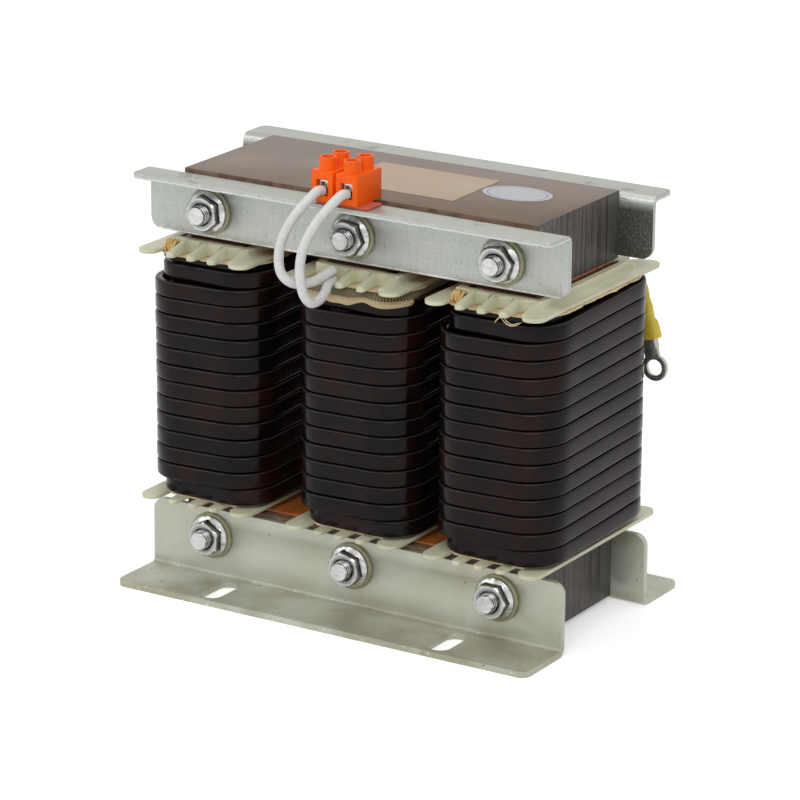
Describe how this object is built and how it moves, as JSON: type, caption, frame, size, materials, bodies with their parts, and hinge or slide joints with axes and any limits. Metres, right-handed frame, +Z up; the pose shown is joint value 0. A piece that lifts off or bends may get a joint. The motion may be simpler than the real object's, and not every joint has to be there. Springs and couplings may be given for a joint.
{
  "type": "three-phase series reactor",
  "caption": "Three-limb iron-core reactor with flat-wire coils side by side, angle clamps as feet, a terminal block on top and lugs on hanging leads.",
  "frame": {"origin": "centre of the footprint on the mounting surface, under the middle coil", "axes": "+X along the row of coils towards the coil with yellow sleeves, +Y from the nuts' side towards the bolt heads and hanging leads, +Z up"},
  "size_m": [0.1902, 0.1257, 0.1855],
  "materials": {
    "zinc_clamps": "zinc plated, fine drawing lines",
    "varnished_feet": "zinc plated under uneven clear varnish",
    "core_steel": "varnished laminations, half gloss",
    "gap_board": "pressed board",
    "orange_sheet": "varnished insulating sheet",
    "frame_plastic": "moulded, slightly translucent",
    "former_board": "insulating board",
    "enamelled_copper": "flat copper under glossy black-brown varnish",
    "collar_paper": "insulating paper",
    "woven_tape": "woven glass tape under varnish",
    "binding_twine": "twisted twine",
    "red_sleeve": "soft sleeve",
    "green_sleeve": "soft sleeve",
    "yellow_sleeve": "soft sleeve",
    "tinned_copper": "tinned, dull",
    "zinc_fasteners": "bright zinc plate",
    "insulating_board": "varnished laminate",
    "orange_plastic": "moulded, satin",
    "nickel_plate": "nickel plated",
    "adhesive": "foam mounting tape",
    "black_plastic": "moulded",
    "white_sleeve": "soft silicone sleeve",
    "beige_label": "blank film",
    "white_label": "blank film"
  },
  "bodies": {
    "reactor": {"front_upper_clamp": "zinc_clamps", "rear_upper_clamp": "zinc_clamps", "front_foot_clamp": "varnished_feet", "rear_foot_clamp": "varnished_feet", "upper_yoke": "core_steel", "lower_yoke": "core_steel", "left_limb": "core_steel", "middle_limb": "core_steel", "right_limb": "core_steel", "gap_spacers": "gap_board", "gap_sheets": "orange_sheet", "left_upper_frame": "frame_plastic", "middle_upper_frame": "frame_plastic", "right_upper_frame": "frame_plastic", "left_lower_frame": "frame_plastic", "middle_lower_frame": "frame_plastic", "right_lower_frame": "frame_plastic", "left_former": "former_board", "middle_former": "former_board", "right_former": "former_board", "left_inner_winding": "enamelled_copper", "middle_inner_winding": "enamelled_copper", "right_inner_winding": "enamelled_copper", "left_outer_winding": "enamelled_copper", "middle_outer_winding": "enamelled_copper", "right_outer_winding": "enamelled_copper", "paper_collars": "collar_paper", "binding_tape": "woven_tape", "binding_cords": "binding_twine", "left_lead_bars": "enamelled_copper", "middle_lead_bars": "enamelled_copper", "right_lead_bars": "enamelled_copper", "left_lead_sleeves": "red_sleeve", "middle_lead_sleeves": "green_sleeve", "right_lead_sleeves": "yellow_sleeve", "left_lugs": "tinned_copper", "middle_lugs": "tinned_copper", "right_lugs": "tinned_copper", "clamp_bolts": "zinc_fasteners", "bolt_sleeves": "insulating_board", "insulating_washers": "insulating_board", "flange_nuts": "zinc_fasteners", "terminal_block": "orange_plastic", "terminal_cages": "nickel_plate", "adhesive_pad": "adhesive", "thermal_switch": "black_plastic", "left_switch_lead": "white_sleeve", "right_switch_lead": "white_sleeve", "rating_label": "beige_label", "round_label": "white_label"},
    "front_left_plate": {"front_left_plate": "nickel_plate"},
    "front_right_plate": {"front_right_plate": "nickel_plate"},
    "rear_left_plate": {"rear_left_plate": "nickel_plate"},
    "rear_right_plate": {"rear_right_plate": "nickel_plate"},
    "front_left_screw": {"front_left_screw": "nickel_plate"},
    "front_right_screw": {"front_right_screw": "nickel_plate"},
    "rear_left_screw": {"rear_left_screw": "nickel_plate"},
    "rear_right_screw": {"rear_right_screw": "nickel_plate"}
  },
  "joints": [
    {"name": "front_left_travel", "type": "slide", "parent": "reactor", "child": "front_left_plate", "axis": [0, 0, 1], "range_m": [0, 0.0015]},
    {"name": "front_left_turn", "type": "hinge", "parent": "front_left_plate", "child": "front_left_screw", "pos_m": [-0.0064, -0.04185, 0.18], "axis": [0, 0, 1], "range_deg": [0, 1080]},
    {"name": "front_right_travel", "type": "slide", "parent": "reactor", "child": "front_right_plate", "axis": [0, 0, 1], "range_m": [0, 0.0015]},
    {"name": "front_right_turn", "type": "hinge", "parent": "front_right_plate", "child": "front_right_screw", "pos_m": [0.0046, -0.04185, 0.18], "axis": [0, 0, 1], "range_deg": [0, 1080]},
    {"name": "rear_left_travel", "type": "slide", "parent": "reactor", "child": "rear_left_plate", "axis": [0, 0, 1], "range_m": [-0.001, 0.0015]},
    {"name": "rear_left_turn", "type": "hinge", "parent": "rear_left_plate", "child": "rear_left_screw", "pos_m": [-0.0064, -0.03265, 0.18], "axis": [0, 0, 1], "range_deg": [-720, 1080]},
    {"name": "rear_right_travel", "type": "slide", "parent": "reactor", "child": "rear_right_plate", "axis": [0, 0, 1], "range_m": [-0.001, 0.0015]},
    {"name": "rear_right_turn", "type": "hinge", "parent": "rear_right_plate", "child": "rear_right_screw", "pos_m": [0.0046, -0.03265, 0.18], "axis": [0, 0, 1], "range_deg": [-720, 1080]}
  ],
  "couplings": [
    {"joint": "front_left_turn", "follows": "front_left_travel", "rad_per_m": 12566},
    {"joint": "front_right_turn", "follows": "front_right_travel", "rad_per_m": 12566},
    {"joint": "rear_left_turn", "follows": "rear_left_travel", "rad_per_m": 12566},
    {"joint": "rear_right_turn", "follows": "rear_right_travel", "rad_per_m": 12566}
  ]
}
